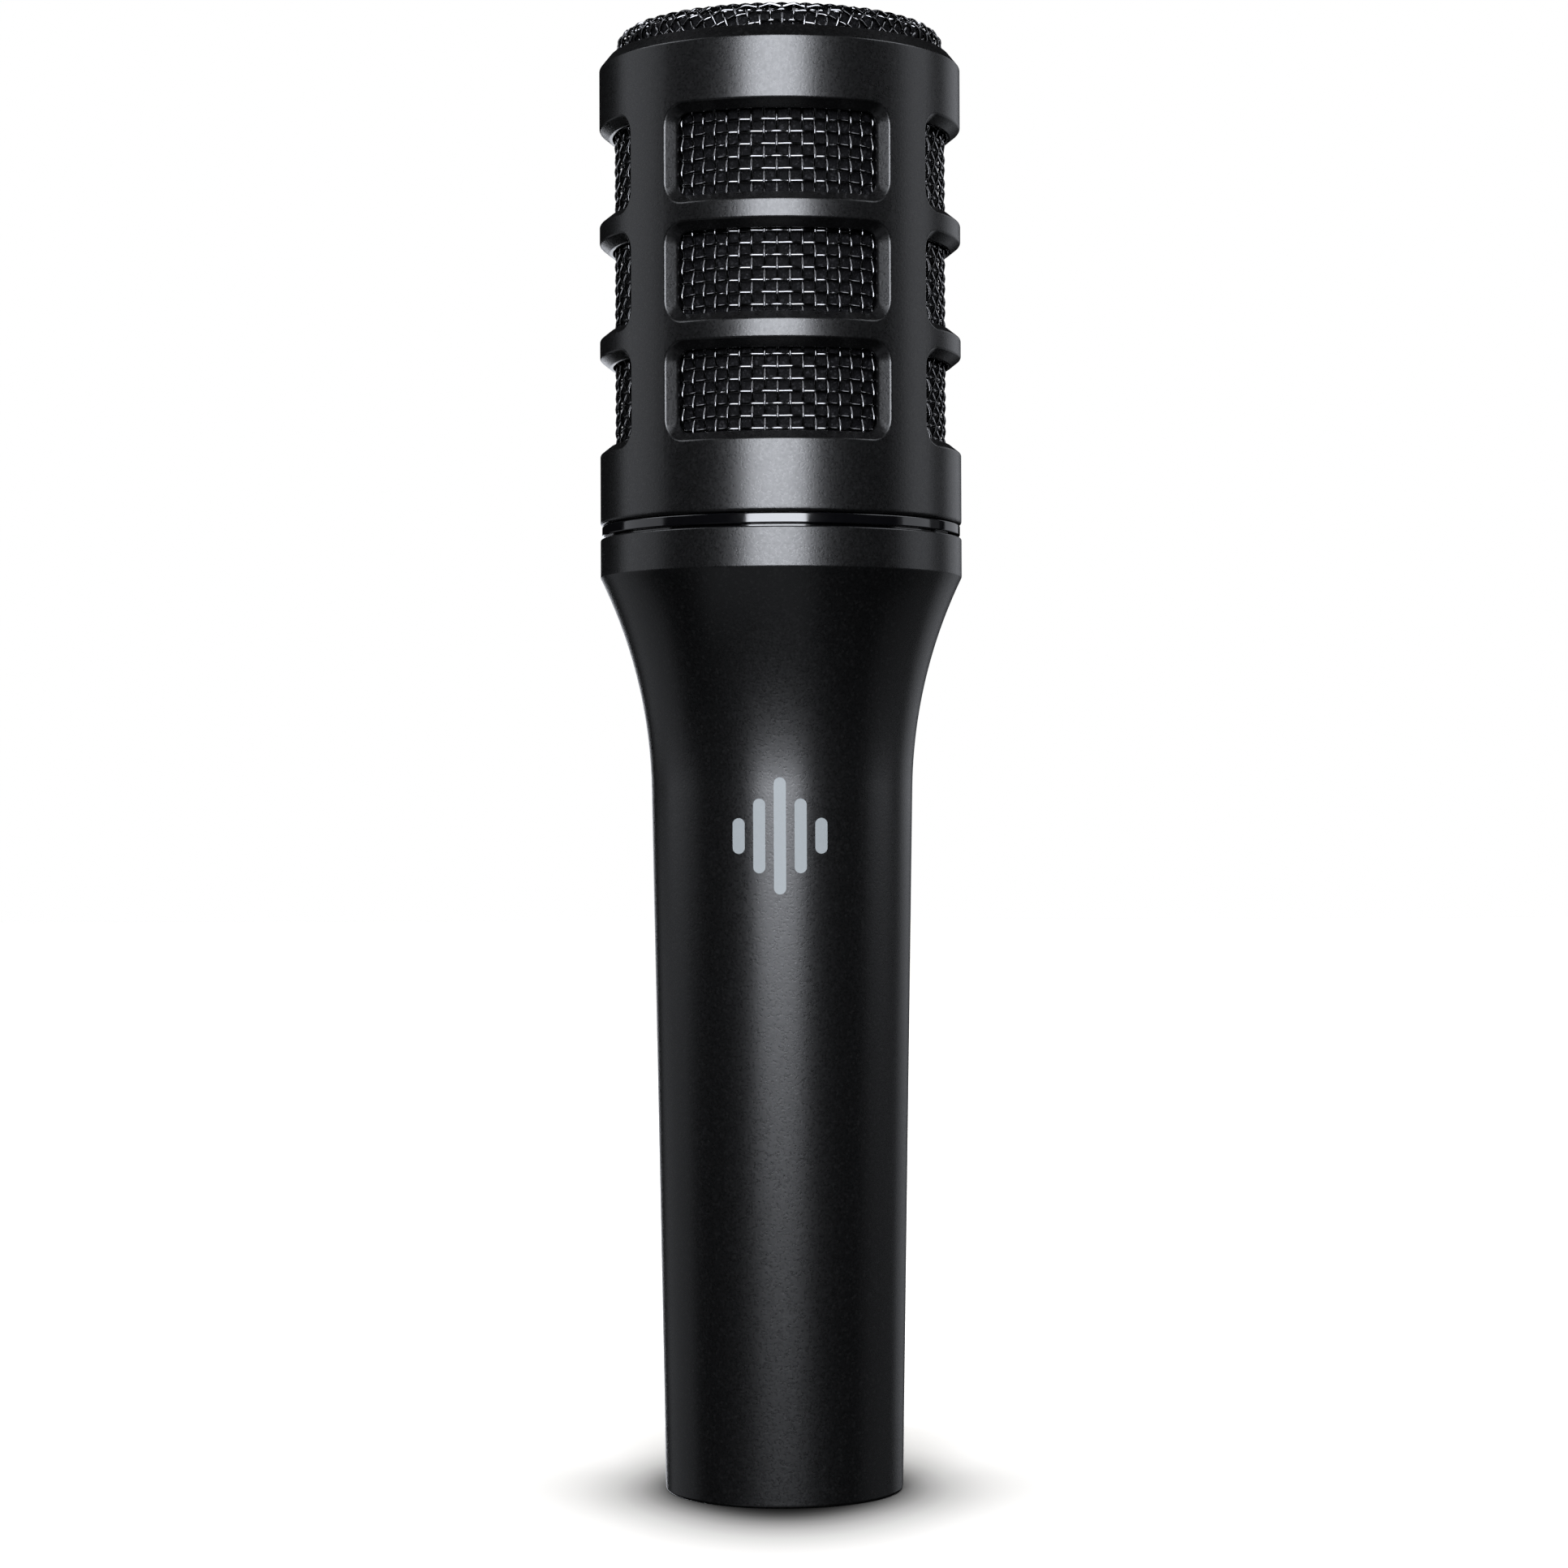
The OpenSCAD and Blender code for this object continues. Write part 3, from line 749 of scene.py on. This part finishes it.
makeCage(cageShape)
print("cage wrapped")


# Woven wire cloth

clothShape = {
    "uprights": 84, "wire": 0.33, "wave": 0.1, "upWave": 0.21, "outer": 21.12, "bottom": 129.66,
    "pitch": 1.514, "rows": 31, "domeWave": 0.16, "domeRadius": 84, "domeTop": 187.4, "domeEdge": 1.9,
    "domeSide": 20.85, "domeRoll": 4.2, "domeTurn": 2, "steps": 4,
}


# Wires are curves given a round section, then made into one mesh
def weave(name, paths, width, ring=False):
    curve = newWire(name, width / 2, 1, capped=not ring)
    for path in paths:
        spline = curve.splines.new("POLY")
        spline.points.add(len(path) - 1)
        for point, place in zip(spline.points, path):
            point.co = (place[0] * mm, place[1] * mm, place[2] * mm, 1)
        spline.use_cyclic_u = ring
    return curveToMesh(curve)


def makeSideMesh(shape):
    middle = shape["outer"] - shape["wire"] / 2 - shape["upWave"]
    fine = shape["steps"]
    uprights = []
    for count in range(shape["uprights"]):
        angle = math.tau * count / shape["uprights"]
        path = []
        for step in range(-fine // 2, shape["rows"] * fine + fine // 2 + 1):
            swing = -math.cos(math.pi * (step / fine + count))
            radius = middle + shape["upWave"] * swing
            height = shape["bottom"] + step * shape["pitch"] / fine
            path.append((radius * math.sin(angle), -radius * math.cos(angle), height))
        uprights.append(path)
    hoops = []
    for row in range(shape["rows"] + 1):
        path = []
        for step in range(shape["uprights"] * fine):
            angle = math.tau * step / (shape["uprights"] * fine)
            radius = middle + shape["wave"] * math.cos(math.pi * (step / fine + row))
            height = shape["bottom"] + row * shape["pitch"]
            path.append((radius * math.sin(angle), -radius * math.cos(angle), height))
        hoops.append(path)
    wires = weave("sideWires", uprights, shape["wire"])
    addMesh("sideWires", wires, "head", "mesh_steel", ["side_mesh"], sharp=60)
    wires = weave("sideHoops", hoops, shape["wire"], ring=True)
    addMesh("sideHoops", wires, "head", "mesh_steel", ["side_mesh"], sharp=60)


# Where a point of the flat cloth goes when it is pressed into the dome with its rolled edge
def pressDome(shape, x, y, lift):
    roll = shape["domeEdge"]
    cap = shape["domeRadius"]
    edgeX = shape["domeSide"] - roll
    meet = math.asin(edgeX / (cap - roll))
    centreZ = shape["domeTop"] - cap
    edgeZ = centreZ + (cap - roll) * math.cos(meet)
    along = math.hypot(x, y)
    capLength = cap * meet
    rollLength = roll * (math.pi / 2 - meet)
    if along <= capLength:
        tilt = along / cap
        radius, height = cap * math.sin(tilt), centreZ + cap * math.cos(tilt)
    elif along <= capLength + rollLength:
        tilt = meet + (along - capLength) / roll
        radius, height = edgeX + roll * math.sin(tilt), edgeZ + roll * math.cos(tilt)
    else:
        tilt = math.pi / 2
        radius, height = edgeX + roll, edgeZ - (along - capLength - rollLength)
    radius += lift * math.sin(tilt)
    height += lift * math.cos(tilt)
    scale = radius / along if along > 1e-6 else 1
    return (x * scale, y * scale, height)


def makeTopMesh(shape):
    pitch = shape["pitch"]
    fine = shape["steps"]
    reach = shape["domeSide"] + shape["domeRoll"]
    sink = -shape["wire"] / 2 - shape["domeWave"]
    turn = math.radians(shape["domeTurn"])
    weaves = {"topWiresAcross": [], "topWiresAlong": []}
    for line in range(-int(reach / pitch), int(reach / pitch) + 1):
        offset = line * pitch
        half = math.sqrt(reach ** 2 - offset ** 2)
        count = int(half / pitch * fine)
        for name, sign in (("topWiresAcross", 1), ("topWiresAlong", -1)):
            path = []
            for step in range(-count, count + 1):
                along = step * pitch / fine
                lift = sink + sign * shape["domeWave"] * math.cos(math.pi * (step / fine + line))
                x, y = (along, offset) if sign > 0 else (offset, along)
                spun = (x * math.cos(turn) - y * math.sin(turn), x * math.sin(turn) + y * math.cos(turn))
                path.append(pressDome(shape, spun[0], spun[1], lift))
            if len(path) > 3:
                weaves[name].append(path)
    for name, paths in weaves.items():
        addMesh(name, weave(name, paths, shape["wire"]), "head", "mesh_steel", ["top_mesh"], sharp=60)


makeSideMesh(clothShape)
makeTopMesh(clothShape)
print("wire cloth woven")


# Foam, with open pores on its outer faces: linings under the cloth and a damping plug in the handle

foamShape = {
    "outer": 20.2, "inner": 17.5, "bottom": 130.9, "top": 177.7, "pore": 0.55, "poreDepth": 0.3,
    "rows": 110, "steps": 300, "domeGap": 0.25, "domeReach": 2.6, "domeRest": 0.4, "domeRings": 50,
    "domeSteps": 260,
}
plugShape = {
    "outer": 13.8, "inner": 3.4, "bottom": 55.3, "top": 79.7, "pore": 0.9, "poreDepth": 0.3,
    "rows": 34, "steps": 120,
}


def openPores(bm, shape, isOuter):
    bm.normal_update()
    moves = []
    for vert in bm.verts:
        if isOuter(vert):
            near = noise.voronoi(vert.co / (shape["pore"] * mm))[0]
            hollow = max(0.0, 1.0 - near[0] * 1.7)  # deepest in the middle of a pore
            moves.append((vert, vert.normal * -shape["poreDepth"] * mm * hollow))
    for vert, move in moves:
        vert.co += move


def makeFoamTube(name, node, body, shape):
    rows = shape["rows"]
    outer = [
        (shape["outer"], shape["bottom"] + (shape["top"] - shape["bottom"]) * row / rows)
        for row in range(rows + 1)
    ]
    outline = [(shape["inner"], shape["bottom"])] + outer + [(shape["inner"], shape["top"])]
    bm = spinOutline(outline, steps=shape["steps"])
    bmesh.ops.recalc_face_normals(bm, faces=bm.faces)
    limit = (shape["outer"] - 0.5) * mm
    openPores(bm, shape, lambda vert: math.hypot(vert.co.x, vert.co.y) > limit)
    piece = addPiece(name, bm, body, "dark_foam", [node], sharp=80)


# The top foam follows the underside of the dome's cloth and stands on a flat foot
def makeTopFoam(shape, cloth):
    drop = -cloth["wire"] - 2 * cloth["domeWave"] - shape["domeGap"]
    reach = cloth["domeSide"] + shape["domeReach"]
    rings = shape["domeRings"]
    foot = shape["top"] + shape["domeRest"]
    outline = [(0, foot)]
    for ring in range(rings + 1):
        radius, _, height = pressDome(cloth, reach * ring / rings, 0, drop)
        outline.append((radius, max(height, foot)))
    bm = spinOutline(outline, steps=shape["domeSteps"])
    bmesh.ops.recalc_face_normals(bm, faces=bm.faces)
    limit = (shape["top"] + 0.6) * mm
    openPores(bm, shape, lambda vert: vert.co.z > limit)
    piece = addPiece("topFoam", bm, "head", "dark_foam", ["top_foam"], sharp=80)


makeFoamTube("sideFoam", "side_foam", "head", foamShape)
makeTopFoam(foamShape, clothShape)
makeFoamTube("dampingPlug", "cavity_foam", "handle", plugShape)
print("foam fitted")


# Rubber mount that holds the capsule's stem, with rounded lips

mountShape = {
    "stem": 8.87, "hub": 10.4, "fold": 12.8, "cuff": 15.2, "outer": 16.95, "bottom": 119,
    "cuffBottom": 121.05, "foldBottom": 122.2, "webBottom": 123.4, "webTop": 124.6, "cuffTop": 126.5,
    "top": 128,
}


def makeShockMount(shape):
    outline = roundOutline([
        (shape["stem"], shape["bottom"], 0.25),
        (shape["hub"], shape["bottom"], 0.4),
        (shape["hub"], shape["webBottom"], 0.5),
        (shape["fold"], shape["foldBottom"], 0.8),
        (shape["cuff"], shape["webBottom"], 0.4),
        (shape["cuff"], shape["cuffBottom"], 0.2),
        (shape["outer"], shape["cuffBottom"], 0.3),
        (shape["outer"], shape["cuffTop"], 0.5),
        (shape["cuff"], shape["cuffTop"], 0.5),
        (shape["cuff"], shape["webTop"], 0.4),
        (shape["fold"], shape["webBottom"], 0.8),
        (shape["hub"], shape["webTop"], 0.5),
        (shape["hub"], shape["top"], 0.5),
        (shape["stem"], shape["top"], 0.25),
    ])
    bm = spinOutline(outline, steps=96)
    piece = addPiece("rubberMount", bm, "handle", "black_rubber", ["shock_mount"])
    evenShading(piece)


makeShockMount(mountShape)


# Felt behind the capsule's magnet, with a fuzzy surface

feltShape = {
    "radius": 13.2, "bottom": 136.22, "top": 137.95, "edge": 0.5, "rings": 26, "ringStep": 0.48,
    "fuzz": 0.07, "fibre": 0.6,
}


def makeFelt(shape):
    start = shape["radius"] - shape["edge"] * 1.2
    flat = [start - step * shape["ringStep"] for step in range(shape["rings"])]
    edge = roundOutline([
        (shape["radius"] - 1, shape["bottom"]),
        (shape["radius"], shape["bottom"], shape["edge"]),
        (shape["radius"], shape["top"], shape["edge"]),
        (shape["radius"] - 1, shape["top"]),
    ], closed=False, steps=4)[1:-1]
    outline = [(0, shape["bottom"])] + [(x, shape["bottom"]) for x in reversed(flat)] + edge
    outline += [(x, shape["top"]) for x in flat] + [(0, shape["top"])]
    bm = spinOutline(outline, steps=120, closed=False)
    bmesh.ops.remove_doubles(bm, verts=bm.verts, dist=weldGap)
    bmesh.ops.recalc_face_normals(bm, faces=bm.faces)
    bm.normal_update()
    for vert in bm.verts:
        fuzz = noise.noise(vert.co / (shape["fibre"] * mm)) - 0.4  # mostly inwards, to keep the size
        vert.co += vert.normal * fuzz * shape["fuzz"] * mm
    piece = addPiece("feltDisc", bm, "capsule", "felt", ["rear_felt"], sharp=80)


makeFelt(feltShape)


# Insulated leads from the pins' tails to the capsule's terminals, attached to no body

leadShape = {"radius": 0.6, "bottom": 24.6, "top": 114.6, "terminal": 3}


def makeLead(name, node, slot, shape, start, side):
    route = [
        start + (shape["bottom"],), (start[0] * 0.93, start[1] * 0.93 + 0.3, 28),
        (side * 1.2 + start[0] * 0.4, side * 0.5 + start[1] * 0.5, 34), (side * 1.5, side * 1.1, 46),
        (side * 1.2, side * 0.4, 62), (side * 1.2, 0, 76), (side * 1.6, side * 0.4, 90),
        (side * 2.6, side * 0.4, 102), (side * shape["terminal"], 0, 110),
        (side * shape["terminal"], 0, shape["top"]),
    ]
    curve = newWire(name, shape["radius"], 3)
    curve.resolution_u = 6
    spline = curve.splines.new("BEZIER")
    spline.bezier_points.add(len(route) - 1)
    for point, place in zip(spline.bezier_points, route):
        point.co = [part * mm for part in place]
        point.handle_left_type = point.handle_right_type = "AUTO"
    lead = addMesh(name, curveToMesh(curve), None, slot, [node], sharp=60)
    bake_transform(lead)


makeLead("hotLead", "lead_hot", "red_insulation", leadShape, (4.5, 0), 1)
makeLead("coldLead", "lead_cold", "black_insulation", leadShape, (0, -4.5), -1)


# Contact pins, with rounded tips

pinShape = {
    "radius": 1.19, "tip": 1.6, "collar": 1.6, "seat": 14, "collarTop": 20, "tail": 1.3, "tailTop": 24.6,
}


def makePin(name, node, shape):
    low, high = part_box(node)
    centre = ((low.x + high.x) / 2 / mm, (low.y + high.y) / 2 / mm)
    outline = roundOutline([
        (0, shape["tip"]),
        (shape["radius"], shape["tip"], 0.85),
        (shape["radius"], shape["seat"], 0.05),
        (shape["collar"], shape["seat"], 0.08),
        (shape["collar"], shape["collarTop"], 0.08),
        (shape["tail"], shape["collarTop"]),
        (shape["tail"], shape["tailTop"], 0.3),
        (0, shape["tailTop"]),
    ], closed=False, steps=8)
    bm = spinOutline(outline, steps=48, closed=False, centre=centre)
    piece = addPiece(name, bm, "handle", "pin_plating", [node])
    evenShading(piece)


for number in (1, 2, 3):
    makePin("contactPin" + str(number), "pin_" + str(number), pinShape)
print("small pieces made")


# Floor and light

studio = {
    "floor": 3.0, "floorColour": (0.897, 0.878, 0.842), "skyForCamera": 1.0, "skyElsewhere": 0.004,
    "sun": 3.7, "sunSpread": 110, "panelColour": (0.945, 0.975, 1.045), "shadowRadius": 15.05,
    "frontReach": 0.511, "frontRadius": 0.745, "shadowStart": -4, "shadowEnd": 20,
    # painted shadow: how much light the floor gives back, by the distance in millimetres past shadowStart
    "shadow": [
        (0, 0.01), (1, 0.014), (2, 0.033), (3, 0.068), (4, 0.12), (5.5, 0.21), (7.5, 0.32), (10, 0.43),
        (12.5, 0.505), (15, 0.57), (18, 0.622), (20, 0.645), (22, 0.67), (24, 1),
    ],
}
panels = {
    # azimuths of both edges in degrees, from the front towards +X, then bottom, top and distance
    # in metres, then brightness
    "frontStrip": (-20.5, 17.0, 0.075, 0.62, 0.95, 15.3),
    "frontHigh": (-20.5, 17.0, 0.62, 1.3, 0.95, 4.0),
    "leftHigh": (-118, -79, 0.08, 0.6, 1.0, 0.82),
    "leftLow": (-142, -92, -0.4, 0.08, 1.01, 0.25),
    "rightHigh": (84, 110, 0.08, 0.6, 1.0, 0.92),
    "rightPanel": (80, 122, -0.4, 0.6, 1.01, 0.12),
    "rightBack": (130, 160, -0.2, 0.6, 1.0, 0.38),
    "rightBackHigh": (130, 160, 0.08, 0.6, 1.02, 0.25),
    "leftBack": (-180, -162, -0.4, 0.16, 1.0, 2.0),
    "lowFront": (-60, 25, -0.9, -0.25, 0.5, 0.26),
    "leftTop": (-110, -65, 0.62, 1.5, 0.95, 3.0),
    "rightTop": (65, 110, 0.62, 1.5, 0.95, 3.0),
}


# Paper floor, with a painted contact shadow: its colour darkens round where the base stands on it
def makeFloor(setup):
    bm = bmesh.new()
    bmesh.ops.create_grid(bm, x_segments=2, y_segments=2, size=setup["floor"])
    mesh = bpy.data.meshes.new("floor")
    bm.to_mesh(mesh)
    bm.free()
    floor = bpy.data.objects.new("floor", mesh)
    material = bpy.data.materials.new("floorPaper")
    material.use_nodes = True
    tree = material.node_tree
    shader = tree.nodes["Principled BSDF"]
    shader.inputs["Roughness"].default_value = 1.0
    shader.inputs["Specular IOR Level"].default_value = 0.0
    origin = addNode(tree, "ShaderNodeTexCoord").outputs["Object"]

    # distance from the axis, with the depth of the floor squeezed
    def reach(depth):
        squeeze = addNode(tree, "ShaderNodeMapping", {"Scale": (1, depth, 0)})
        tree.links.new(origin, squeeze.inputs["Vector"])
        length = addNode(tree, "ShaderNodeVectorMath", operation="LENGTH")
        tree.links.new(squeeze.outputs["Vector"], length.inputs[0])
        return length.outputs["Value"]
    edge = addMath(tree, "DIVIDE", reach(setup["frontRadius"]), reach(1))
    edge = addMath(tree, "MULTIPLY", edge, setup["shadowRadius"] * mm)
    gap = addMath(tree, "SUBTRACT", reach(setup["frontReach"]), edge)
    gap = addMath(tree, "SUBTRACT", gap, setup["shadowStart"] * mm)
    width = setup["shadowEnd"] - setup["shadowStart"]
    share = addMath(tree, "DIVIDE", gap, width * mm, clamp=True)
    # painted shadow: the ramp darkens the floor's colour near the base, by the gap past the base's edge
    rampNode = addNode(tree, "ShaderNodeValToRGB")
    ramp = rampNode.color_ramp
    stops = setup["shadow"]
    for _ in stops[2:]:
        ramp.elements.new(1.0)
    for stop, (distance, light) in zip(ramp.elements, stops):
        stop.position = distance / width
        stop.color = [part * light for part in setup["floorColour"]] + [1.0]
    tree.links.new(share, rampNode.inputs["Fac"])
    tree.links.new(rampNode.outputs["Color"], shader.inputs["Base Color"])
    mesh.materials.append(material)
    bpy.context.scene.collection.objects.link(floor)
    floor.visible_glossy = False
    floor.visible_diffuse = False


def makeSky(setup):
    world = bpy.data.worlds.new("studio")
    bpy.context.scene.world = world
    world.use_nodes = True
    tree = world.node_tree
    background = tree.nodes["Background"]
    background.inputs["Color"].default_value = (1, 1, 1, 1)
    path = addNode(tree, "ShaderNodeLightPath")
    span = setup["skyForCamera"] - setup["skyElsewhere"]
    seen = addMath(tree, "MULTIPLY", path.outputs["Is Camera Ray"], span)
    tree.links.new(addMath(tree, "ADD", seen, setup["skyElsewhere"]), background.inputs["Strength"])


def makePanel(name, colour, first, last, bottom, top, distance, brightness):
    middle = math.radians((first + last) / 2)
    half = math.radians((last - first) / 2)
    data = bpy.data.lights.new(name, "AREA")
    data.shape = "RECTANGLE"
    data.size = 2 * distance * math.tan(half)
    data.size_y = top - bottom
    data.energy = brightness * math.pi * data.size * data.size_y
    data.color = colour
    light = bpy.data.objects.new(name, data)
    spot = (distance * math.sin(middle), -distance * math.cos(middle), (bottom + top) / 2)
    place = Matrix.Translation(spot)
    light.matrix_world = place @ Matrix.Rotation(middle, 4, "Z") @ Matrix.Rotation(math.pi / 2, 4, "X")
    light.visible_camera = False
    bpy.context.scene.collection.objects.link(light)


def makeSun(setup):
    data = bpy.data.lights.new("overhead", "SUN")
    data.energy = setup["sun"]
    data.angle = math.radians(setup["sunSpread"])
    light = bpy.data.objects.new("overhead", data)
    light.visible_glossy = False
    bpy.context.scene.collection.objects.link(light)


makeFloor(studio)
makeSky(studio)
makeSun(studio)
for panelName, row in panels.items():
    makePanel(panelName, studio["panelColour"], *row)
bpy.context.scene.view_settings.view_transform = "Standard"
print("studio lit")
